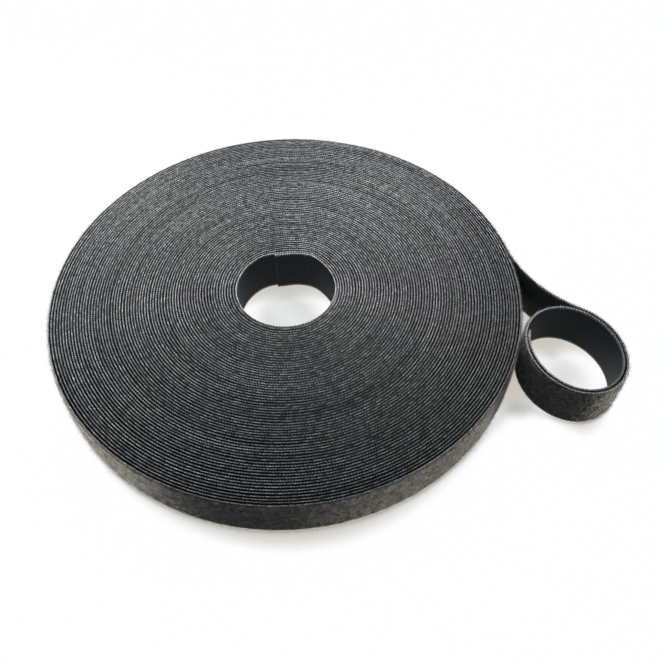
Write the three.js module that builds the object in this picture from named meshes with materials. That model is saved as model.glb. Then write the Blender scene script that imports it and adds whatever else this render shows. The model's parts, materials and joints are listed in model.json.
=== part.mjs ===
// Roll of back-to-back hook and loop tape, wound flat with no core. The outer end has been peeled off
// the roll and curls into a standing ring beside it. The roll lies on its flat side: millimetres, +Z up.
// The tape is two webs bonded back to back: the hook web faces the roll's axis, the loop web faces out.
import * as THREE from 'three';

// Tape
const tapeWidth = 20;
const hookWebThickness = 0.42;
const loopWebThickness = 0.42;
const bondLine = 0.2; // between the backs of the two webs
const layGap = 0.3; // between one turn and the next
const cutGap = 0.3; // where two stretches of tape meet end to end

// Roll
const rollRadius = 93;
const boreRadius = 18.6;
const turnPitch = 1.08; // radial room of one turn, with the hooks bedded in the pile
const turnsPerBand = 3.8; // of the turns between the first and the last, one loop is drawn for a few turns
const featherThickness = 0.4; // where a band starts and ends against a round face

// Start of the tape, in the bore
const startAngle = 107; // degrees from +X
const startTabLength = 17; // free to lift off the bore's wall

// Tail and ring
const peelAngle = 12.9; // degrees from +X, where the tail leaves the roll
const tailBendRadius = 50.4;
const ringHalfLength = 21;
const ringHalfWidth = 18.1;
const ringLean = 38; // degrees from the tail's heading, clockwise, to the ring's long axis
const ringLaps = 1.75;
const ringLapPitch = 1.35;
const ringClearance = 0.52; // from the ring to the roll
const endTabLength = 14; // free to lift off the ring's inner lap

// Facets
const stepsPerTurn = 24;
const tailSteps = 8;
const tabSteps = 4;

const degree = Math.PI / 180;
const fullTurn = 2 * Math.PI;
const tapeThickness = hookWebThickness + bondLine + loopWebThickness;
const turns = (rollRadius - boreRadius) / turnPitch;
const stepAngle = fullTurn / stepsPerTurn;

const hookMaterial = new THREE.MeshStandardMaterial({ color: 0x1b1f21, roughness: 0.5, metalness: 0 });
const loopMaterial = new THREE.MeshStandardMaterial({ color: 0x454442, roughness: 0.95, metalness: 0 });

const assembly = new THREE.Group();

const polar = (radius, angle) => new THREE.Vector2(radius * Math.cos(angle), radius * Math.sin(angle));

// The angles from one to the other in equal steps
function steps(from, to, count) {
  return Array.from({ length: count + 1 }, (_, i) => from + (to - from) * i / count);
}

// A web standing on edge, between its right and left faces seen along the tape's run
function addWeb(name, right, left, material) {
  const outline = new THREE.Shape([...right, ...left.slice().reverse()]);
  const geometry = new THREE.ExtrudeGeometry(outline, { depth: tapeWidth, bevelEnabled: false });
  const web = new THREE.Mesh(geometry, material);
  web.name = name;
  assembly.add(web);
}

// A station has a middle point of the tape and the direction to its left
const onFace = ({ point, left }, offset) => point.clone().addScaledVector(left, offset);
const faceOf = (stations, offset) => stations.map((station) => onFace(station, offset));
const half = tapeThickness / 2;

// Both webs of a stretch of tape
function addTape(name, stations) {
  const hookBack = faceOf(stations, hookWebThickness - half);
  const loopBack = faceOf(stations, half - loopWebThickness);
  addWeb(`${name}_hook_web`, faceOf(stations, -half), hookBack, hookMaterial);
  addWeb(`${name}_loop_web`, loopBack, faceOf(stations, half), loopMaterial);
}

// The tape runs clockwise round the roll, and its left is away from the axis
function rollStation(radius, angle) {
  return { point: polar(radius, angle), left: polar(1, angle) };
}

// First turn: it starts with a free tab and passes under that tab once
const layPitch = tapeThickness + layGap;
const startMiddle = (sweep) => boreRadius + half + layPitch * sweep / fullTurn;
const startStation = (sweep) => rollStation(startMiddle(sweep), startAngle * degree - sweep);
const startTabSweep = startTabLength / boreRadius;
const startCut = cutGap / 2 / boreRadius;
const startTurnEnd = startTabSweep + fullTurn;
addTape('start_tab', steps(0, startTabSweep - startCut, tabSteps).map(startStation));
addTape('start_turn', steps(startTabSweep + startCut, startTurnEnd, stepsPerTurn).map(startStation));

// Last turn: it ends at the peel line, and its own beginning lies under the tail
const peel = peelAngle * degree;
const outerMiddle = (sweep) => rollRadius - half - layPitch * sweep / fullTurn;
const outerCut = cutGap / 2 / rollRadius;
const outerStation = (sweep) => rollStation(outerMiddle(sweep), peel + sweep);
addTape('outer_turn', steps(fullTurn - outerCut, outerCut, stepsPerTurn).map(outerStation));

// Turns between: a hook band and a loop band wound side by side from the first turn to the last.
// Each is cut to the two round faces, so it starts and ends as a feather and the roll stays round.
const windingInner = startMiddle(startTurnEnd) + half + layGap;
const windingOuter = outerMiddle(fullTurn) - half - layGap;
const bandCount = Math.round(turns / turnsPerBand);
const bandPitch = (windingOuter - windingInner) / bandCount;
const bandThickness = bandPitch / 2 - layGap;

// The right and left faces of a band whose first full loop starts at an offset from the first turn
function bandFaces(offset) {
  const faces = { right: [], left: [] };
  const bandEnd = (bandCount + 2) * stepsPerTurn; // one loop more than it needs at each end, to be cut
  for (let step = 0; step <= bandEnd; step += 1) {
    const climb = windingInner + offset + bandPitch * (step / stepsPerTurn - 1);
    // The last turn's inner face climbs by one lay over each turn from the peel line
    const lastTurnFace = windingOuter + layPitch * (step % stepsPerTurn) / stepsPerTurn;
    const inner = THREE.MathUtils.clamp(climb, windingInner, lastTurnFace);
    const outer = THREE.MathUtils.clamp(climb + bandThickness, windingInner, lastTurnFace);
    if (outer - inner >= featherThickness) {
      faces.right.push(polar(inner, peel - step * stepAngle));
      faces.left.push(polar(outer, peel - step * stepAngle));
    }
  }
  return faces;
}

const hookBand = bandFaces(0);
const loopBand = bandFaces(bandPitch / 2);
addWeb('winding_hook_web', hookBand.right, hookBand.left, hookMaterial);
addWeb('winding_loop_web', loopBand.right, loopBand.left, loopMaterial);

// Tail: an arc that bends away from the roll, starting along the roll's own direction at the peel line
function tailStation(along) {
  const heading = peel - Math.PI / 2 + along / tailBendRadius;
  const centre = polar(rollRadius - half + tailBendRadius, peel);
  const left = polar(1, heading + Math.PI / 2);
  return { point: centre.addScaledVector(left, -tailBendRadius), left, heading };
}

// Ring: an oval that closes in by one lap pitch a lap, and starts along the tail's end
function ringAfter(tailLength) {
  const { point, heading } = tailStation(tailLength);
  const longAxis = heading - ringLean * degree;
  const along = heading - longAxis;
  const first = Math.atan2(Math.cos(along) / ringHalfLength, -Math.sin(along) / ringHalfWidth);
  const origin = new THREE.Vector2();
  const firstPoint = new THREE.Vector2(ringHalfLength * Math.cos(first), ringHalfWidth * Math.sin(first));
  const centre = point.clone().sub(firstPoint.rotateAround(origin, longAxis));
  const station = (sweep) => {
    const turn = first - sweep;
    const inward = ringLapPitch * sweep / fullTurn;
    const oval = new THREE.Vector2(
      (ringHalfLength - inward) * Math.cos(turn),
      (ringHalfWidth - inward) * Math.sin(turn),
    );
    const normal = new THREE.Vector2(Math.cos(turn) / ringHalfLength, Math.sin(turn) / ringHalfWidth);
    return {
      point: oval.rotateAround(origin, longAxis).add(centre),
      left: normal.normalize().rotateAround(origin, longAxis),
    };
  };
  return { centre, station };
}

const ringSteps = (from, to) => steps(from, to, Math.ceil((to - from) / stepAngle));

function clearanceAfter(tailLength) {
  const firstLap = ringSteps(0, fullTurn).map(ringAfter(tailLength).station);
  const reach = faceOf(firstLap, half).map((corner) => corner.length());
  return Math.min(...reach) - rollRadius;
}

// The tail is as long as it takes for the ring to stand clear of the roll
function tailLengthFor(clearance) {
  let short = 0;
  let long = tailBendRadius * Math.PI / 2;
  const halvings = 40;
  for (let i = 0; i < halvings; i += 1) {
    const middle = (short + long) / 2;
    if (clearanceAfter(middle) < clearance) {
      short = middle;
    } else {
      long = middle;
    }
  }
  return long;
}

const tailLength = tailLengthFor(ringClearance);
const ring = ringAfter(tailLength);
const ringMeanRadius = (ringHalfLength + ringHalfWidth) / 2;
const ringCut = cutGap / 2 / ringMeanRadius;
const ringEnd = ringLaps * fullTurn;
const endTabSweep = ringEnd - endTabLength / (ringMeanRadius - ringLaps * ringLapPitch);
const ringStretch = ringSteps(ringCut, endTabSweep - ringCut).map(ring.station);
addTape('tail', steps(cutGap / 2, tailLength - cutGap / 2, tailSteps).map(tailStation));
addTape('ring', ringStretch);
addTape('end_tab', steps(endTabSweep + ringCut, ringEnd, tabSteps).map(ring.station));

// Least gap between neighbouring loops of a strip, from each corner of its left face to the right face
// that lies about a loop before or after it
const nearestLoop = stepsPerTurn * 0.5;
const farthestLoop = stepsPerTurn * 1.5;

function leastGap({ right, left }) {
  const edge = new THREE.Line3();
  const nearest = new THREE.Vector3();
  const inSpace = ({ x, y }) => new THREE.Vector3(x, y, 0);
  let least = Infinity;
  left.forEach((corner, i) => {
    for (let j = 1; j < right.length; j += 1) {
      const stepsAway = Math.abs(j - i);
      if (stepsAway > nearestLoop && stepsAway < farthestLoop) {
        edge.set(inSpace(right[j - 1]), inSpace(right[j]));
        edge.closestPointToPoint(inSpace(corner), true, nearest);
        least = Math.min(least, nearest.distanceTo(inSpace(corner)));
      }
    }
  });
  return least.toFixed(2);
}

const ringFaces = { right: faceOf(ringStretch, -half), left: faceOf(ringStretch, half) };
console.log(`least gap of the hook band to itself ${leastGap(hookBand)} mm`);
console.log(`least gap of the loop band to itself ${leastGap(loopBand)} mm`);
console.log(`least gap of the ring to itself ${leastGap(ringFaces)} mm`);

// The lines that the tape bends about, each on the face that the free stretch moves towards
const bendLines = {
  startLift: onFace(startStation(startTabSweep), -half),
  tailPeel: onFace(tailStation(0), half),
  ringSwing: onFace(tailStation(tailLength), half),
  endLift: onFace(ring.station(endTabSweep), -half),
};

// The part's origin is the middle of its footprint, on the surface that it lies on
const footprint = new THREE.Box3().setFromObject(assembly).getCenter(new THREE.Vector3());
assembly.position.set(-footprint.x, -footprint.y, 0);
assembly.userData = { bendLines, ringCentre: ring.centre, tailLength };

export default assembly;
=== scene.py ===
# Roll of back-to-back hook and loop tape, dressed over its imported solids.
# The tape is one line seen from above: a spiral round the roll, an arc for the tail, an oval for the ring.
# Every piece is a stretch of that line. Lengths are in mm until a mesh is made.
import json
import math
import bpy
import numpy as np
from mathutils import Matrix, Vector


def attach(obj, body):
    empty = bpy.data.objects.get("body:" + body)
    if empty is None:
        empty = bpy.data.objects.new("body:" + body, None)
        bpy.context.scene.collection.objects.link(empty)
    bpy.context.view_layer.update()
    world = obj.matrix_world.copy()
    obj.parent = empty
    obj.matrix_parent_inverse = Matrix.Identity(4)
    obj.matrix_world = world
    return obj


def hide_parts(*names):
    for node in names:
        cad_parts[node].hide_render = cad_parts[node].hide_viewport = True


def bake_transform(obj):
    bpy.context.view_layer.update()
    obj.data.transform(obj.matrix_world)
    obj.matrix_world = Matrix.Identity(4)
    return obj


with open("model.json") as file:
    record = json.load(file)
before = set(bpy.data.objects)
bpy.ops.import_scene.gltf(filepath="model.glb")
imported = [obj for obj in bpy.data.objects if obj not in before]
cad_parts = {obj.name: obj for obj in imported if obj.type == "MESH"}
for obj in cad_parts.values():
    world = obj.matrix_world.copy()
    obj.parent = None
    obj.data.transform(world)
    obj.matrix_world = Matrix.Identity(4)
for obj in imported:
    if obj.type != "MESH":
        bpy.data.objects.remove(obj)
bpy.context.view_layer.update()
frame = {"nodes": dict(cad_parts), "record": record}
print("frame loaded, nodes:", len(frame["nodes"]))

tape = {
    "width": 20.0,
    "thickness": 1.04,
    "rollRadius": 93.0,
    "boreRadius": 18.6,
    "turnPitch": 1.08,
    "startAngle": 107.0,  # degrees from +X, where the tape starts in the bore
    "startTab": 17.0,  # free to lift, along the bore's wall
    "peelAngle": 12.9,  # degrees from +X, where the tail leaves the roll
    "tailBend": 50.4,
    "tailLength": 42.268,
    "ringHalfLength": 21.0,
    "ringHalfWidth": 18.1,
    "ringLean": 38.0,  # degrees from the tail's heading to the ring's long axis, clockwise
    "ringLaps": 1.75,
    "ringLapPitch": 1.35,
    "endTab": 14.0,  # free to lift inside the ring
}

fullTurn = 2 * math.pi
bore = next(o for o in frame["record"]["physics"]["openings"] if o["name"] == "bore")
rollAxis = np.mean(bore["box_m"], axis=0)[:2] * 1000

half = tape["thickness"] / 2
innerRadius = tape["boreRadius"] + half
outerRadius = tape["rollRadius"] - half
startAngle = math.radians(tape["startAngle"])
peelAngle = math.radians(tape["peelAngle"])
wholeTurns = round((outerRadius - innerRadius) / tape["turnPitch"])
rollSweep = fullTurn * wholeTurns + startAngle - peelAngle
climb = (outerRadius - innerRadius) / rollSweep  # mm of radius for each radian


def alongAt(sweep):
    # length of the even spiral up to an angle: radius times angle, and half the climb times angle squared
    return innerRadius * sweep + climb * sweep ** 2 / 2


def sweepAt(along):
    # the angle at a length, from the same formula turned round
    return (np.sqrt(innerRadius ** 2 + 2 * climb * along) - innerRadius) / climb


rollLength = alongAt(rollSweep)


def smoothNoise(rows, columns, rowBlur, columnBlur, seed):
    # random numbers on a grid, blurred both ways with columns joined end to end, scaled to about -1 to 1
    grid = np.random.default_rng(seed).normal(size=(rows, columns))
    rowWave = np.abs(np.fft.fftfreq(rows))[:, None] * rowBlur
    columnWave = np.abs(np.fft.fftfreq(columns))[None, :] * columnBlur
    blur = np.exp(-2 * (math.pi ** 2) * (rowWave ** 2 + columnWave ** 2))
    grid = np.real(np.fft.ifft2(np.fft.fft2(grid) * blur))
    return grid / (2 * grid.std())


def onGrid(grid, row, column):
    # value of a grid between its points, straight from one to the next, columns joined end to end
    row = np.clip(row, 0, len(grid) - 1.001)
    r, c = row.astype(int), np.floor(column).astype(int)
    u, v = row - r, column - c
    c, d = c % grid.shape[1], (c + 1) % grid.shape[1]
    lower = grid[r, c] * (1 - v) + grid[r, d] * v
    upper = grid[r + 1, c] * (1 - v) + grid[r + 1, d] * v
    return lower * (1 - u) + upper * u


# how the turns lie, in mm: slow drifts that neighbours share, each turn's own jitter and a quick wobble,
# so that grooves differ in width. Cells are steps round a turn
lay = {
    "drift": 0.14, "driftTurns": 3.0, "driftSeed": 4,
    "jitter": 0.1, "jitterTurns": 0.4, "jitterSeed": 5,
    "cells": 72, "blur": 3.0,
    "wobble": 0.07, "wobbleTurns": 0.3, "wobbleSeed": 6, "wobbleCells": 150, "wobbleBlur": 1.2,
    "quiet": 1.6,  # turns over which it all fades out by the bore and the rim
}
layRows = wholeTurns + 3
layGrid = lay["drift"] * smoothNoise(
    layRows, lay["cells"], lay["driftTurns"], lay["blur"], lay["driftSeed"])
layGrid += lay["jitter"] * smoothNoise(
    layRows, lay["cells"], lay["jitterTurns"], lay["blur"], lay["jitterSeed"])
wobbleGrid = lay["wobble"] * smoothNoise(
    layRows, lay["wobbleCells"], lay["wobbleTurns"], lay["wobbleBlur"], lay["wobbleSeed"])


def layWaver(sweep):
    # how far a turn lies off the even spiral: the noise over turn and angle, none near the bore and the rim
    turn = sweep / fullTurn
    quiet = np.clip(np.minimum(turn - 1, rollSweep / fullTurn - 1 - turn) / lay["quiet"], 0, 1)
    slow = onGrid(layGrid, turn, turn * lay["cells"])
    quick = onGrid(wobbleGrid, turn, turn * lay["wobbleCells"])
    return quiet * (slow + quick)


# by the bore the turns lie flat over the tape's start end and bulge a little after it: mm, and degrees from +X
boreLay = {
    "flat": -1.1, "flatAt": 98.0, "flatWidth": 18.0,
    "bulge": 0.45, "bulgeAt": 57.0, "bulgeWidth": 12.0,
    "fade": 14.0,  # mm outwards
}


def boreSettle(sweep):
    # how far a turn lies off the spiral there: two bell curves over the angle, less with each turn outwards
    angle = np.degrees(startAngle - sweep)
    flat = ((angle - boreLay["flatAt"] + 180) % 360 - 180) / boreLay["flatWidth"]
    bulge = ((angle - boreLay["bulgeAt"] + 180) % 360 - 180) / boreLay["bulgeWidth"]
    return np.exp(-climb * sweep / boreLay["fade"]) * (
        boreLay["flat"] * np.exp(-flat ** 2) + boreLay["bulge"] * np.exp(-bulge ** 2))


# ring: an oval in its own axes that closes in evenly, placed so that it starts along the tail's end
tailTurn = tape["tailLength"] / tape["tailBend"]
tailCentre = (outerRadius + tape["tailBend"]) * np.array([math.cos(peelAngle), math.sin(peelAngle)])
ringHeading = peelAngle - math.pi / 2 + tailTurn
lean = math.radians(tape["ringLean"])
longAxis = ringHeading - lean
ringFirst = math.atan2(math.cos(lean) / tape["ringHalfLength"], -math.sin(lean) / tape["ringHalfWidth"])
ringPoints = 4001
ringSweep = np.linspace(0, tape["ringLaps"] * fullTurn, ringPoints)
ringTurn = ringFirst - ringSweep
ringInward = tape["ringLapPitch"] * ringSweep / fullTurn
toRing = np.array([[math.cos(longAxis), math.sin(longAxis)], [-math.sin(longAxis), math.cos(longAxis)]])
ringLine = np.c_[
    (tape["ringHalfLength"] - ringInward) * np.cos(ringTurn),
    (tape["ringHalfWidth"] - ringInward) * np.sin(ringTurn)] @ toRing
tailEndLeft = np.array([math.cos(ringHeading + math.pi / 2), math.sin(ringHeading + math.pi / 2)])
ringLine += tailCentre - tape["tailBend"] * tailEndLeft - ringLine[0]
ringLeft = np.c_[np.cos(ringTurn) / tape["ringHalfLength"], np.sin(ringTurn) / tape["ringHalfWidth"]] @ toRing
ringLeft /= np.linalg.norm(ringLeft, axis=1)[:, None]
ringAlong = np.r_[0, np.cumsum(np.linalg.norm(np.diff(ringLine, axis=0), axis=1))]
ringLap = np.interp(fullTurn, ringSweep, ringAlong)
ringStart = rollLength + tape["tailLength"]
tapeLength = ringStart + ringAlong[-1]
print("tape line, length in m:", round(tapeLength / 1000, 2))


def tapeAt(along):
    # plan point of the tape's middle and the direction to its left, for any distances along the tape
    along = np.asarray(along, float)
    sweep = sweepAt(np.clip(along, 0, rollLength))
    outward = np.stack([np.cos(startAngle - sweep), np.sin(startAngle - sweep)], -1)
    roll = outward * (innerRadius + climb * sweep + layWaver(sweep) + boreSettle(sweep))[..., None]
    leftAngle = peelAngle + (along - rollLength) / tape["tailBend"]
    tailLeft = np.stack([np.cos(leftAngle), np.sin(leftAngle)], -1)
    tail = tailCentre - tape["tailBend"] * tailLeft
    past = along - ringStart
    ring = np.stack([np.interp(past, ringAlong, ringLine[:, k]) for k in (0, 1)], -1)
    curl = np.stack([np.interp(past, ringAlong, ringLeft[:, k]) for k in (0, 1)], -1)
    onRoll, onTail = (along <= rollLength)[..., None], (along <= ringStart)[..., None]
    point = np.where(onRoll, roll, np.where(onTail, tail, ring))
    left = np.where(onRoll, outward, np.where(onTail, tailLeft, curl))
    return point, left


def onTape(along, offset, height):
    # points in the part's frame: along the tape, offset to its left from the middle, height over the floor
    point, left = tapeAt(along)
    plan = point + left * np.asarray(offset)[..., None] + rollAxis
    return np.concatenate([plan, np.broadcast_to(height, plan.shape[:-1])[..., None]], -1)


def linearColour(code):
    # sRGB hex to the linear light that shaders use
    value = np.array([int(code[i:i + 2], 16) for i in (1, 3, 5)]) / 255
    linear = np.where(value <= 0.04045, value / 12.92, ((value + 0.055) / 1.055) ** 2.4)
    return (*linear, 1.0)


def addNode(tree, kind, inputs=None, **settings):
    # one node: its settings, then each input as a plain value or as a link from another node's output
    node = tree.nodes.new(kind)
    for key, value in settings.items():
        setattr(node, key, value)
    for key, value in (inputs or {}).items():
        if isinstance(value, bpy.types.NodeSocket):
            tree.links.new(value, node.inputs[key])
        else:
            node.inputs[key].default_value = value
    return node


def setRamp(node, stops):
    # colours of a ramp at their places
    while len(node.color_ramp.elements) < len(stops):
        node.color_ramp.elements.new(0.5)
    for element, (place, code) in zip(node.color_ramp.elements, stops):
        element.position = place
        element.color = linearColour(code)


def seenPlainly(tree):
    # 1 for rays from the camera and in mirrors and glass, 0 for the light that falls on things
    path = addNode(tree, "ShaderNodeLightPath")
    seen = addNode(tree, "ShaderNodeMath", {
        0: path.outputs["Is Camera Ray"], 1: path.outputs["Is Glossy Ray"]}, operation="MAXIMUM")
    seen = addNode(tree, "ShaderNodeMath", {
        0: seen.outputs["Value"], 1: path.outputs["Is Transmission Ray"]}, operation="MAXIMUM")
    return seen.outputs["Value"]


def newMaterial(name):
    material = bpy.data.materials.new(name)
    material.use_nodes = True
    tree = material.node_tree
    tree.nodes.clear()
    return material, tree


# woven nylon selvedge: the weft turns back at the tape's edge at every pick, so the edge is a row of ticks
# painted grey, partly the weave's own tone and partly a painted gleam of the black nylon; they gleam most
# where the light comes from behind. Pick, fleck and dash are lengths in mm
selvedge = {
    "tones": [(0.14, "#090b0c"), (0.36, "#383d40"), (0.66, "#8f9598"), (0.95, "#cdd0d1")],
    "pick": 1.05, "pickWander": 10.0, "pickShare": 0.26, "base": -0.5,
    "fleck": 0.38, "fleckShare": 0.7,
    "dash": 2.6, "dashShare": 1.0,
    "bump": 0.6, "bumpDepth": 0.00015,
}


def selvedgeMaterial(s):
    material, tree = newMaterial("woven_nylon_selvedge")
    uv = addNode(tree, "ShaderNodeUVMap", uv_map="tape")
    along = addNode(tree, "ShaderNodeSeparateXYZ", {"Vector": uv.outputs["UV"]})
    drift = addNode(tree, "ShaderNodeTexNoise", {
        "Vector": uv.outputs["UV"], "Scale": 1000 / s["dash"], "Detail": 2.0}, noise_dimensions="2D")
    fleck = addNode(tree, "ShaderNodeTexNoise", {
        "Vector": uv.outputs["UV"], "Scale": 1000 / s["fleck"], "Detail": 1.0}, noise_dimensions="2D")
    phase = addNode(tree, "ShaderNodeMath", {
        0: drift.outputs["Fac"], 1: s["pickWander"]}, operation="MULTIPLY")
    phase = addNode(tree, "ShaderNodeMath", {
        0: along.outputs["X"], 1: fullTurn * 1000 / s["pick"], 2: phase.outputs["Value"]},
        operation="MULTIPLY_ADD")
    tick = addNode(tree, "ShaderNodeMath", {0: phase.outputs["Value"]}, operation="COSINE")
    tick = addNode(tree, "ShaderNodeMath", {0: tick.outputs["Value"], 1: 1.0}, operation="ADD")
    # the shade lightens the edge and deepens its ticks; on the first turn and where the tape is free of the
    # roll it is a painted highlight
    shade = addNode(tree, "ShaderNodeAttribute", attribute_name="shade")
    tick = addNode(tree, "ShaderNodeMath", {
        0: tick.outputs["Value"], 1: shade.outputs["Fac"]}, operation="MULTIPLY")
    tick = addNode(tree, "ShaderNodeMath", {
        0: tick.outputs["Value"], 1: s["pickShare"], 2: s["base"]}, operation="MULTIPLY_ADD")
    dash = addNode(tree, "ShaderNodeMath", {
        0: drift.outputs["Fac"], 1: s["dashShare"], 2: tick.outputs["Value"]}, operation="MULTIPLY_ADD")
    edge = addNode(tree, "ShaderNodeMath", {
        0: fleck.outputs["Fac"], 1: s["fleckShare"], 2: dash.outputs["Value"]}, operation="MULTIPLY_ADD")
    colour = addNode(tree, "ShaderNodeValToRGB", {"Fac": edge.outputs["Value"]})
    setRamp(colour, s["tones"])
    bump = addNode(tree, "ShaderNodeBump", {
        "Height": edge.outputs["Value"], "Strength": s["bump"], "Distance": s["bumpDepth"]})
    shader = addNode(tree, "ShaderNodeBsdfPrincipled", {
        "Base Color": colour.outputs["Color"], "Normal": bump.outputs["Normal"], "Roughness": 0.42,
        "IOR": 1.53, "Specular IOR Level": 0.3, "Sheen Weight": 0.08, "Sheen Roughness": 0.35})
    addNode(tree, "ShaderNodeOutputMaterial", {"Surface": shader.outputs["BSDF"]})
    return material


# nylon ground with painted groove shade: a dark matt weave for the faces and bare edges of the wound turns,
# darker than the hooks, pile and selvedge there, as the shade in the grooves between turns; a little lighter
# on the loop side. Thread is a length in mm
hookGroundAndShade = {
    "name": "black_nylon_ground_and_groove_shade", "tones": [(0.3, "#0b0d0e"), (0.7, "#212527")], "thread": 0.3}
loopGroundAndShade = {
    "name": "black_nylon_loop_ground_and_groove_shade", "tones": [(0.3, "#131617"), (0.7, "#363b3e")], "thread": 0.3}


def groundAndShadeMaterial(s):
    material, tree = newMaterial(s["name"])
    uv = addNode(tree, "ShaderNodeUVMap", uv_map="tape")
    thread = addNode(tree, "ShaderNodeTexNoise", {
        "Vector": uv.outputs["UV"], "Scale": 1000 / s["thread"], "Detail": 1.0}, noise_dimensions="2D")
    colour = addNode(tree, "ShaderNodeValToRGB", {"Fac": thread.outputs["Fac"]})
    setRamp(colour, s["tones"])
    shader = addNode(tree, "ShaderNodeBsdfPrincipled", {
        "Base Color": colour.outputs["Color"], "Roughness": 0.85, "IOR": 1.53, "Specular IOR Level": 0.1})
    addNode(tree, "ShaderNodeOutputMaterial", {"Surface": shader.outputs["BSDF"]})
    return material


# nylon hook web: dense black hooks in rows across a ribbed ground, nearly black, with a painted cool gleam:
# the colour is a little lighter along each row. Row and grain are lengths in mm
hookWeb = {
    "tones": [(0.3, "#121618"), (0.85, "#5e686d")],
    "row": 0.8, "paintedRowGleam": 0.15, "grain": 0.35, "bump": 0.5, "bumpDepth": 0.0001,
}


def hookWebMaterial(s):
    material, tree = newMaterial("woven_nylon_hook_web")
    uv = addNode(tree, "ShaderNodeUVMap", uv_map="tape")
    along = addNode(tree, "ShaderNodeSeparateXYZ", {"Vector": uv.outputs["UV"]})
    grain = addNode(tree, "ShaderNodeTexNoise", {
        "Vector": uv.outputs["UV"], "Scale": 1000 / s["grain"], "Detail": 2.0}, noise_dimensions="2D")
    row = addNode(tree, "ShaderNodeMath", {
        0: along.outputs["X"], 1: fullTurn * 1000 / s["row"]}, operation="MULTIPLY")
    row = addNode(tree, "ShaderNodeMath", {0: row.outputs["Value"]}, operation="COSINE")
    # the painted gleam: a little lighter along each row, added to the grain
    both = addNode(tree, "ShaderNodeMath", {
        0: row.outputs["Value"], 1: s["paintedRowGleam"], 2: grain.outputs["Fac"]}, operation="MULTIPLY_ADD")
    colour = addNode(tree, "ShaderNodeValToRGB", {"Fac": both.outputs["Value"]})
    setRamp(colour, s["tones"])
    bump = addNode(tree, "ShaderNodeBump", {
        "Height": grain.outputs["Fac"], "Strength": s["bump"], "Distance": s["bumpDepth"]})
    shader = addNode(tree, "ShaderNodeBsdfPrincipled", {
        "Base Color": colour.outputs["Color"], "Normal": bump.outputs["Normal"], "Roughness": 0.55,
        "IOR": 1.53, "Specular IOR Level": 0.08})
    addNode(tree, "ShaderNodeOutputMaterial", {"Surface": shader.outputs["BSDF"]})
    return material


# napped nylon loop pile: brushed loops lie like felt, charcoal head on and dusty beige where light grazes
# the fuzz. Mottle is a length in mm
loopPile = {
    "tones": [(0.32, "#101112"), (0.68, "#6c6c6b")], "sheen": "#d0c8bb",
    "mottle": 1.4, "bump": 0.8, "bumpDepth": 0.0003,
}


def loopPileMaterial(s):
    material, tree = newMaterial("napped_nylon_loop_pile")
    place = addNode(tree, "ShaderNodeTexCoord")
    mottle = addNode(tree, "ShaderNodeTexNoise", {
        "Vector": place.outputs["Object"], "Scale": 1000 / s["mottle"], "Detail": 4.0, "Roughness": 0.65,
        "Distortion": 0.6})
    colour = addNode(tree, "ShaderNodeValToRGB", {"Fac": mottle.outputs["Fac"]})
    setRamp(colour, s["tones"])
    bump = addNode(tree, "ShaderNodeBump", {
        "Height": mottle.outputs["Fac"], "Strength": s["bump"], "Distance": s["bumpDepth"]})
    shader = addNode(tree, "ShaderNodeBsdfPrincipled", {
        "Base Color": colour.outputs["Color"], "Normal": bump.outputs["Normal"], "Roughness": 0.95,
        "IOR": 1.5, "Specular IOR Level": 0.15, "Sheen Weight": 1.0, "Sheen Roughness": 0.35,
        "Sheen Tint": linearColour(s["sheen"])})
    addNode(tree, "ShaderNodeOutputMaterial", {"Surface": shader.outputs["BSDF"]})
    return material


# single nylon filaments of the pile: thin and slightly shiny, their tone set by their shade: dark for the low
# ones as painted shade, light for the fuzz as painted light
pileYarn = {"tones": [(0.0, "#101112"), (0.5, "#4c4b4a"), (1.0, "#cbc7bf")], "sheen": "#e6e2db"}


def pileYarnMaterial(s):
    material, tree = newMaterial("brushed_nylon_filament")
    shade = addNode(tree, "ShaderNodeAttribute", attribute_name="shade")
    colour = addNode(tree, "ShaderNodeValToRGB", {"Fac": shade.outputs["Fac"]})
    setRamp(colour, s["tones"])
    shader = addNode(tree, "ShaderNodeBsdfPrincipled", {
        "Base Color": colour.outputs["Color"], "Roughness": 0.7, "IOR": 1.53, "Specular IOR Level": 0.2,
        "Sheen Weight": 0.7, "Sheen Roughness": 0.3, "Sheen Tint": linearColour(s["sheen"])})
    addNode(tree, "ShaderNodeOutputMaterial", {"Surface": shader.outputs["BSDF"]})
    return material


selvedgeFinish = selvedgeMaterial(selvedge)
# the two ground finishes paint the shade of the grooves on the wound turns
hookGroundAndShadeFinish = groundAndShadeMaterial(hookGroundAndShade)
loopGroundAndShadeFinish = groundAndShadeMaterial(loopGroundAndShade)
hookFinish = hookWebMaterial(hookWeb)
loopFinish = loopPileMaterial(loopPile)
yarnFinish = pileYarnMaterial(pileYarn)
print("materials made")


def makePiece(name, points, faceSets, finishes, finishOf=None, uv=None, values=None, crease=None):
    # a mesh from points in mm and arrays of faces, each array with its own number of corners
    mesh = bpy.data.meshes.new(name)
    corners = np.concatenate([f.ravel() for f in faceSets]).astype(np.int32)
    sides = np.concatenate([np.full(len(f), f.shape[1]) for f in faceSets])
    mesh.vertices.add(len(points))
    mesh.vertices.foreach_set("co", (points * 0.001).astype(np.float32).ravel())
    mesh.loops.add(len(corners))
    mesh.loops.foreach_set("vertex_index", corners)
    mesh.polygons.add(len(sides))
    mesh.polygons.foreach_set("loop_start", (np.cumsum(sides) - sides).astype(np.int32))
    for finish in finishes:
        mesh.materials.append(finish)
    if finishOf is not None:
        mesh.polygons.foreach_set("material_index", finishOf.astype(np.int32))
    if uv is not None:
        mesh.uv_layers.new(name="tape").uv.foreach_set("vector", uv.astype(np.float32).ravel())
    if values is not None:
        mesh.attributes.new("shade", "FLOAT", "POINT").data.foreach_set("value", values.astype(np.float32))
    mesh.update(calc_edges=True)
    mesh.validate()
    mesh.shade_smooth()
    if crease:
        mesh.set_sharp_from_angle(angle=math.radians(crease))
    piece = bpy.data.objects.new(name, mesh)
    bpy.context.scene.collection.objects.link(piece)
    return piece


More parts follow.
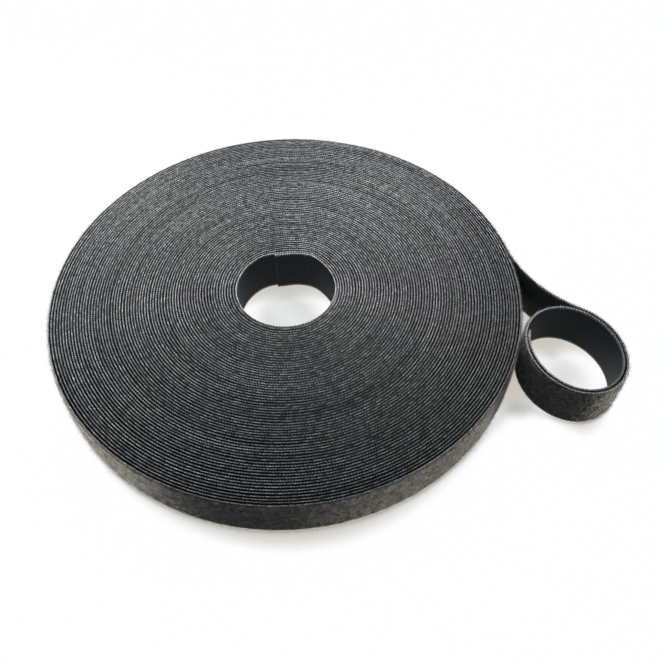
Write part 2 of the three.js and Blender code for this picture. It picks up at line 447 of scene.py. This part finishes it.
# cross-sections, clockwise seen along the tape: offset to the left of the tape's middle, and height.
# The ground fabric stands up as a thin lip at both edges; hooks and pile start lower, so a dark groove parts
# the turns. The lip's crest lies at a share of its thickness, and its two sides lie a little below the crest
section = {
    "bond": 0.02, "lip": 0.2, "crest": 0.7, "outside": 0.14, "inside": 0.015,
    "hookFace": 0.48, "pileFace": 0.48, "bare": 1.0, "slope": 0.4,
}
freeSection = dict(section, lip=0.34)  # threads of the edge spread where no turn presses on them


def webSection(s, face, side, across, rest, edge):
    # top lip, back, bottom lip, then the face between its two bare edges, in so many points across it.
    # The lips are selvedge, finish 1. The finish of the rest and of the bare edges is given: 0 is hooks or
    # pile, and 2 is dark ground, as inside the roll, where it is painted groove shade over the hooks or pile
    w, e = tape["width"], s["bare"]
    top = [(s["lip"], w - s["outside"]), (s["lip"] * s["crest"], w), (s["bond"], w - s["inside"])]
    bottom = [(s["bond"], s["inside"]), (s["lip"] * s["crest"], 0), (s["lip"], s["outside"])]
    out = [(face, z) for z in np.linspace(e + s["slope"], w - e - s["slope"], across)]
    points = np.array(top + bottom + [(s["lip"], e)] + out + [(s["lip"], w - e)])
    finish = np.array([1, 1, rest, 1, 1, edge] + [rest] * (across + 1) + [edge])
    if side > 0:
        points, finish = points[::-1], np.roll(finish[::-1], -1)
    return points * [side, 1], finish


def webPiece(name, along, profile, finish, finishes, push=None, rise=None, shade=None, crease=40):
    # a section carried along the tape: ring after ring of its points, closed at both ends
    n, m = len(along), len(profile)
    offset = np.broadcast_to(profile[:, 0], (n, m)) + (0 if push is None else push)
    height = np.broadcast_to(profile[:, 1], (n, m)) + (0 if rise is None else rise)
    points = onTape(np.broadcast_to(along[:, None], (n, m)), offset, height).reshape(-1, 3)
    i, j = np.meshgrid(np.arange(n - 1), np.arange(m), indexing="ij")
    k = (j + 1) % m
    quads = np.stack([i * m + j, (i + 1) * m + j, (i + 1) * m + k, i * m + k], -1).reshape(-1, 4)
    caps = [np.arange(m)[None, :], ((n - 1) * m + np.arange(m))[None, ::-1]]
    around = np.r_[0, np.cumsum(np.linalg.norm(np.roll(profile, -1, 0) - profile, axis=1))]
    u = np.stack([along[i], along[i + 1], along[i + 1], along[i]], -1)
    v = np.stack([around[j], around[j], around[j + 1], around[j + 1]], -1)
    capUv = [np.c_[np.full(m, a), around[:m]] for a in (along[0], along[-1])]
    uv = np.concatenate([np.stack([u, v], -1).reshape(-1, 2), *capUv]) * 0.001
    finishOf = np.r_[np.tile(finish, n - 1), 1, 1]
    values = np.repeat(shade, m)
    return makePiece(name, points, [quads, *caps], finishes, finishOf, uv, values, crease)


pileRows = 18  # points across a pile face that shows
# wound sections take finish 2 on their faces and bare edges: the painted groove shade
woundHookSection = webSection(section, section["hookFace"], -1, 2, 2, 2)
rollHookSection = webSection(section, section["hookFace"], -1, 2, 0, 1)
woundLoopSection = webSection(section, section["pileFace"], 1, 2, 2, 2)
rollLoopSection = webSection(section, section["pileFace"], 1, pileRows, 0, 0)
freeHookSection = webSection(freeSection, section["hookFace"], -1, 2, 0, 1)
freeLoopSection = webSection(freeSection, section["pileFace"], 1, pileRows, 0, 0)
sectionsOf = {  # hook section and loop section of each stretch
    "start_tab": (rollHookSection, rollLoopSection), "first_turn": (rollHookSection, rollLoopSection),
    "winding": (woundHookSection, woundLoopSection), "last_turn": (woundHookSection, rollLoopSection),
    "peel": (rollHookSection, rollLoopSection), "neck": (freeHookSection, freeLoopSection),
    "ring": (freeHookSection, freeLoopSection), "free_end": (freeHookSection, freeLoopSection),
}

# cuts between stretches lie clear of the bends: how far past a bend line, in radians at the bore, else in mm
cut = {"pastTab": 0.42, "beforePeel": 30, "afterPeel": 22, "afterNeck": 18, "beforeEnd": 12}
tabSweep = tape["startTab"] / tape["boreRadius"]
tabCut = alongAt(tabSweep + cut["pastTab"])
endCut = tapeLength - tape["endTab"] - cut["beforeEnd"]
stretches = {  # where each stretch of tape starts and ends, in mm along it
    "start_tab": (0, tabCut),
    "first_turn": (tabCut, alongAt(tabSweep + fullTurn)),
    "winding": (alongAt(tabSweep + fullTurn), alongAt(rollSweep - fullTurn)),
    "last_turn": (alongAt(rollSweep - fullTurn), rollLength - cut["beforePeel"]),
    "peel": (rollLength - cut["beforePeel"], rollLength + cut["afterPeel"]),
    "neck": (rollLength + cut["afterPeel"], ringStart + cut["afterNeck"]),
    "ring": (ringStart + cut["afterNeck"], endCut),
    "free_end": (endCut, tapeLength),
}
spacing = {  # mm from one section to the next
    "start_tab": 0.2, "first_turn": 0.2, "winding": 2.7, "last_turn": 0.6,
    "peel": 0.2, "neck": 0.2, "ring": 0.2, "free_end": 0.2,
}

# upper edges of the turns, in mm: how far they sink, and between which heights the section follows.
# Cells are steps round a turn
edgeLay = {
    "sink": 0.16, "fine": 0.05, "from": 18.95, "over": 0.8, "cells": 90,
    "sinkTurns": 0.7, "sinkBlur": 2.0, "sinkSeed": 9,
    "shadeTurns": 0.35, "shadeBlur": 3.0, "shadeSeed": 12,
    # the last three set a painted highlight: how light the edges are where the tape is free of the roll and
    # along the first turn, and over what length it fades in
    "shade": 0.5, "shadeVaries": 0.28, "freeHighlight": 1.3, "firstTurnHighlight": 0.8, "freeLength": 20,
}
edgeRows = wholeTurns + 6
edgeGrid = smoothNoise(
    edgeRows, edgeLay["cells"], edgeLay["sinkTurns"], edgeLay["sinkBlur"], edgeLay["sinkSeed"])
edgeShade = smoothNoise(
    edgeRows, edgeLay["cells"], edgeLay["shadeTurns"], edgeLay["shadeBlur"], edgeLay["shadeSeed"])


def edgeRise(along, profile, seed):
    # how far the upper lips stand below the full width: blurred noise over turn and angle, and a little at
    # each step
    turn = sweepAt(np.clip(along, 0, rollLength)) / fullTurn
    fine = np.random.default_rng(seed).normal(size=len(along)) * edgeLay["fine"]
    sink = edgeLay["sink"] * (1 + onGrid(edgeGrid, turn, turn * edgeLay["cells"])) + np.abs(fine)
    lip = np.clip((profile[:, 1] - edgeLay["from"]) / edgeLay["over"], 0, 1)
    return -sink[:, None] * lip[None, :]


def shadeAt(along):
    # how light a turn's edges are, about 0 to 1: noise that changes from turn to turn and slowly along each,
    # and a painted highlight that makes them light all along the first turn, fading in the fifth of a turn
    # after it, and along the free end
    turn = sweepAt(np.clip(along, 0, rollLength)) / fullTurn
    free = np.clip((along - rollLength) / edgeLay["freeLength"], 0, 1)
    free = free + edgeLay["firstTurnHighlight"] * np.clip(1.2 - turn, 0, 0.2) * 5
    varied = edgeLay["shade"] + edgeLay["shadeVaries"] * onGrid(edgeShade, turn, turn * edgeLay["cells"])
    return np.clip(varied, 0, 1) * (1 - free) + edgeLay["freeHighlight"] * free


faceMargin = 0.05  # mm: points this near to a web's face count as on it
ribs = {"pitch": 0.8, "depth": 0.16, "free": 0.2}


def hookRibs(along, profile):
    # ribs across the hook face: a cosine along the tape, lower where the tape is free of the roll,
    # only on the points that stand out from the lips
    wave = 0.5 + 0.5 * np.cos(fullTurn * along / ribs["pitch"])
    wave *= np.where(along > rollLength, ribs["free"], 1)
    onFace = profile[:, 0] < faceMargin - section["hookFace"]
    return (ribs["depth"] * wave)[:, None] * onFace[None, :]


nap = {"cell": 0.5, "columns": 640, "swell": 0.13, "blur": 1.3, "seed": 21}
napRows = round(tape["width"] / nap["cell"]) + 2
napGrid = smoothNoise(napRows, nap["columns"], nap["blur"], nap["blur"], nap["seed"])


def napSwell(along, profile):
    # how the brushed pile swells and sinks: blurred noise over height and length, only on the pile face
    height, length = np.meshgrid(profile[:, 1] / nap["cell"], along / nap["cell"])
    onFace = profile[:, 0] > section["pileFace"] - faceMargin
    return nap["swell"] * onGrid(napGrid, height, length) * onFace[None, :]


webs = {  # finishes, relief of the face, and seed of the edge's steps
    "hook": ([hookFinish, selvedgeFinish, hookGroundAndShadeFinish], hookRibs, 1),
    "loop": ([loopFinish, selvedgeFinish, loopGroundAndShadeFinish], napSwell, 2),
}
pieces = []  # each with its stretch and its web, and whether it stands for a solid
for name, (first, last) in stretches.items():
    along = np.linspace(first, last, max(2, round((last - first) / spacing[name]) + 1))
    for (web, (finishes, relief, seed)), (profile, finish) in zip(webs.items(), sectionsOf[name]):
        push = None if name == "winding" else relief(along, profile)
        piece = webPiece(f"{name}_{web}", along, profile, finish, finishes,
                         push, edgeRise(along, profile, seed), shadeAt(along))
        pieces.append((piece, name, web, True))
print("webs made:", len(pieces))

# filaments of the pile: dark ones lie low in clumps, finer light ones stand out as fuzz, a few stray further.
# The low ones are painted dark as the shade near the face, the fuzz painted light as the light on the outer
# fibres.
# Lengths are in mm, and shade is the place in the yarn's tones
pile = {
    "spans": {"last_turn": 5, "peel": 1, "neck": 1, "ring": 1},  # pieces that each stretch's pile is made in
    "seed": 30, "bare": 0.5, "margin": 0.05, "root": 0.03,
    "clump": 0.45, "clumpColumns": 1400, "clumpBlur": 0.9, "clumpSeed": 33,
    "low": {"perSquare": 3.0, "reach": 1.3, "lift": 0.18, "thick": 0.06, "shade": 0.3, "clumped": 0.9},
    "fuzz": {"perSquare": 7.0, "reach": 1.2, "lift": 0.48, "thick": 0.036, "shade": 0.82, "clumped": 0.8},
    "stray": {"perSquare": 0.4, "reach": 2.4, "lift": 0.85, "thick": 0.032, "shade": 0.6, "clumped": 0.6},
}
clumpRows = round(tape["width"] / pile["clump"]) + 2
clumpGrid = smoothNoise(
    clumpRows, pile["clumpColumns"], pile["clumpBlur"], pile["clumpBlur"], pile["clumpSeed"])


def filaments(s, first, last, rng):
    # loops on the pile face: each rises from the face along its own heading and comes down again,
    # as a thin three-sided spindle bent at its middle
    count = int((last - first) * tape["width"] * s["perSquare"])
    along = rng.uniform(first, last, count)
    height = rng.uniform(pile["bare"], tape["width"] - pile["bare"], count)
    heading = rng.uniform(0, fullTurn, count)
    reach = s["reach"] * rng.lognormal(0, 0.35, count)
    lift = s["lift"] * rng.lognormal(0, 0.4, count)
    run = reach[:, None] * np.array([-0.5, 0, 0.5])
    bow = np.array([0, 1, 0])
    aside = (reach * rng.normal(0, 0.3, count))[:, None] * bow
    ahead, across = np.cos(heading)[:, None], np.sin(heading)[:, None]
    middle = np.stack([along[:, None] + run * ahead - aside * across,
                       section["pileFace"] - pile["root"] + lift[:, None] * bow,
                       height[:, None] + run * across + aside * ahead], -1)
    turn = np.arange(3) * fullTurn / 3
    radius = s["thick"] / 2 * rng.uniform(0.7, 1.5, count)[:, None]
    belt = np.stack([
        -np.sin(turn) * across * radius, np.cos(turn) * radius, np.sin(turn) * ahead * radius], -1)
    local = np.concatenate([middle[:, :1], middle[:, 1:2] + belt, middle[:, 2:]], 1)
    clump = onGrid(clumpGrid, height / pile["clump"], along / pile["clump"])
    # the kind's shade: painted shade for low filaments, painted light for the fuzz, with clumps and random
    # spread
    shade = np.clip(s["shade"] + s["clumped"] * clump * 0.5 + rng.normal(0, 0.12, count), 0, 1)
    return local, np.repeat(shade, 5)


def pilePiece(name, first, last, seed):
    # every kind of filament on a stretch of tape, kept within the stretch and the tape's width
    rng = np.random.default_rng(seed)
    kinds = [filaments(pile[kind], first, last, rng) for kind in ("low", "fuzz", "stray")]
    local, shade = (np.concatenate(values) for values in zip(*kinds))
    inside = np.clip(local[..., 2], pile["margin"], tape["width"] - pile["margin"])
    points = onTape(np.clip(local[..., 0], first, last), local[..., 1], inside).reshape(-1, 3)
    spindle = np.array([(0, 2, 1), (0, 3, 2), (0, 1, 3), (4, 1, 2), (4, 2, 3), (4, 3, 1)])
    faces = (np.arange(len(local)) * 5)[:, None, None] + spindle
    return makePiece(name, points, [faces.reshape(-1, 3)], [yarnFinish], values=shade)


for name, parts in pile["spans"].items():
    first, last = stretches[name]
    last = min(last, ringStart + ringLap)  # the second lap lies against the first one
    cuts = np.linspace(first, last, parts + 1)
    for part in range(parts):
        label = name + "_pile" + (f"_{part + 1}" if parts > 1 else "")
        piece = pilePiece(label, cuts[part], cuts[part + 1], pile["seed"] + len(pieces))
        pieces.append((piece, name, "loop", False))
print("pile made, pieces:", len(pieces))

# what each stretch rides on; one that crosses a bend rides on no body and stays where it is made
standsFor = {
    "start_tab": "start_tab", "first_turn": "start_turn", "winding": "winding", "last_turn": "outer_turn",
    "peel": "tail", "neck": "tail", "ring": "ring", "free_end": "end_tab",
}
rides = {"first_turn": "roll", "winding": "roll", "last_turn": "roll", "ring": "ring"}
for piece, name, web, standsIn in pieces:
    if name in rides:
        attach(piece, rides[name])
    else:
        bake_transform(piece)
    if standsIn:
        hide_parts(f"{standsFor[name]}_{web}_web")
print("pieces ride on their bodies")

# floor: plain and pale. The camera sees most of it as emitted plain white with a painted shadow in beige tones
# close to the tape, and the rest as a matt sheet with the real shadow
floor = {
    "size": 3.0, "drop": 0.05, "cells": 4, "colour": "#8c8b89", "share": 0.995, "samples": 32,
    "behind": {
        "reach": 15.0, "towards": [(-0.64, 0.77, 0.4), (0.5, 0.87, 0.4)],
        "tones": [(0.42, "#cbc6bc"), (0.49, "#d5d2ca"), (0.54, "#dddad4"), (0.57, "#e6e4df"),
                  (0.6, "#edece9"), (0.635, "#f6f5f4"), (0.67, "#ffffff")],
    },
    "above": {
        "reach": 45.0, "towards": [(0, 0, 1)],
        "tones": [(0.33, "#ffffff"), (0.39, "#f5f5f3"), (0.42, "#e2e3e1"), (0.445, "#cccecd"),
                  (0.465, "#dce0e0"), (0.51, "#e8ecec"), (0.54, "#ffffff")],
    },
}


def makeFloor(s):
    # each shadow is how much of the room a point of the floor sees towards some directions, turned into a tone
    material, tree = newMaterial("pale_studio_floor")
    share = addNode(tree, "ShaderNodeMath", {0: seenPlainly(tree), 1: s["share"]}, operation="MULTIPLY")
    matt = addNode(tree, "ShaderNodeBsdfDiffuse", {"Color": linearColour(s["colour"])})
    tones = []
    for shadow in (s["behind"], s["above"]):
        clear = []
        for towards in shadow["towards"]:
            way = addNode(tree, "ShaderNodeCombineXYZ", dict(zip("XYZ", towards)))
            sees = addNode(tree, "ShaderNodeAmbientOcclusion", {
                "Distance": shadow["reach"] * 0.001, "Normal": way.outputs["Vector"]}, samples=s["samples"])
            clear.append(sees.outputs["AO"])
        clear = addNode(tree, "ShaderNodeMath", {0: clear[0], 1: clear[-1]}, operation="MAXIMUM")
        tone = addNode(tree, "ShaderNodeValToRGB", {"Fac": clear.outputs["Value"]})
        setRamp(tone, shadow["tones"])
        tones.append(tone.outputs["Color"])
    # the painted shadow: both tones multiplied, shown to the camera as emitted colour
    both = addNode(tree, "ShaderNodeVectorMath", {0: tones[0], 1: tones[1]}, operation="MULTIPLY")
    white = addNode(tree, "ShaderNodeEmission", {"Color": both.outputs["Vector"], "Strength": 1.0})
    mix = addNode(tree, "ShaderNodeMixShader", {
        0: share.outputs["Value"], 1: matt.outputs["BSDF"], 2: white.outputs["Emission"]})
    addNode(tree, "ShaderNodeOutputMaterial", {"Surface": mix.outputs["Shader"]})
    n = s["cells"] + 1
    x, y = np.meshgrid(np.linspace(-0.5, 0.5, n), np.linspace(-0.5, 0.5, n), indexing="ij")
    points = np.stack([x, y, 0 * x], -1).reshape(-1, 3) * s["size"] * 1000 - [0, 0, s["drop"]]
    i, j = np.meshgrid(np.arange(n - 1), np.arange(n - 1), indexing="ij")
    quads = np.stack([i * n + j, (i + 1) * n + j, (i + 1) * n + j + 1, i * n + j + 1], -1).reshape(-1, 4)
    return makePiece("floor", points, [quads], [material])


makeFloor(floor)

# studio light: an even cool room, two softboxes above and behind the roll, each with a grid that narrows its
# beam, and a warm strip low on each side. Places and sizes are in metres, beams in degrees
studio = {
    "room": 0.23,
    "tint": "#f2f8ff",
    "lamps": [
        {"name": "back_left_softbox", "at": (-0.132, 0.321, 0.249), "aim": (-0.157, 0.054, 0.02),
         "beam": 41.6, "size": (0.1, 0.1), "power": 0.297, "tint": "#ffffff"},
        {"name": "back_right_softbox", "at": (0.059, 0.187, 0.23), "aim": (0.003, 0.052, 0.02),
         "beam": 49.7, "size": (0.1, 0.1), "power": 0.193, "tint": "#ffffff"},
        {"name": "left_strip", "at": (-0.47, 0.07, 0.012), "aim": (0, 0, 0),
         "beam": 180, "size": (0.12, 0.024), "power": 5.4, "tint": "#fffaf3"},
        {"name": "right_strip", "at": (0.5, -0.05, 0.012), "aim": (0, 0, 0),
         "beam": 180, "size": (0.12, 0.024), "power": 3.3, "tint": "#fffaf3"},
    ],
}


def makeStudio(s):
    world = bpy.data.worlds.new("studio")
    bpy.context.scene.world = world
    world.use_nodes = True
    tree = world.node_tree
    tree.nodes.clear()
    room = addNode(tree, "ShaderNodeBackground", {"Color": linearColour(s["tint"]), "Strength": s["room"]})
    white = addNode(tree, "ShaderNodeBackground", {"Color": (1, 1, 1, 1), "Strength": 1.0})
    mix = addNode(tree, "ShaderNodeMixShader", {
        0: seenPlainly(tree), 1: room.outputs["Background"], 2: white.outputs["Background"]})
    addNode(tree, "ShaderNodeOutputWorld", {"Surface": mix.outputs["Shader"]})
    for lamp in s["lamps"]:
        light = bpy.data.lights.new(lamp["name"], "AREA")
        light.shape = "RECTANGLE"
        light.size, light.size_y = lamp["size"]
        light.spread = math.radians(lamp["beam"])
        light.energy = lamp["power"]
        light.color = linearColour(lamp["tint"])[:3]
        holder = bpy.data.objects.new(lamp["name"], light)
        holder.location = lamp["at"]
        holder.visible_camera = False
        holder.rotation_euler = (Vector(lamp["aim"]) - holder.location).to_track_quat("-Z", "Y").to_euler()
        bpy.context.scene.collection.objects.link(holder)


makeStudio(studio)

# camera: fitted to the photo's rim, bore and ring outlines, in mm from the roll's axis
camera = {
    "lookAt": (18.023, -7.692, 0.0), "distance": 294.74, "elevation": 52.873, "roll": -0.462,
    "focal": 716.68, "pixels": 665, "sensor": 36,
}


def makeCamera(s):
    rise, roll = math.radians(s["elevation"]), math.radians(s["roll"])
    back = np.array([0, -math.cos(rise), math.sin(rise)])
    up = np.array([0, math.sin(rise), math.cos(rise)])
    right = np.array([1.0, 0, 0])
    turned = math.cos(roll) * right + math.sin(roll) * up
    place = np.array(s["lookAt"]) + [*rollAxis, 0] + s["distance"] * back
    lens = bpy.data.cameras.new("camera")
    lens.sensor_width = s["sensor"]
    lens.lens = s["sensor"] * s["focal"] / s["pixels"]
    lens.clip_start = 0.01
    holder = bpy.data.objects.new("camera", lens)
    axes = np.eye(4)
    axes[:3] = np.c_[turned, np.cross(back, turned), back, place * 0.001]
    bpy.context.scene.collection.objects.link(holder)
    holder.matrix_world = Matrix(axes.tolist())
    bpy.context.scene.camera = holder


makeCamera(camera)
bpy.context.scene.view_settings.view_transform = "Standard"
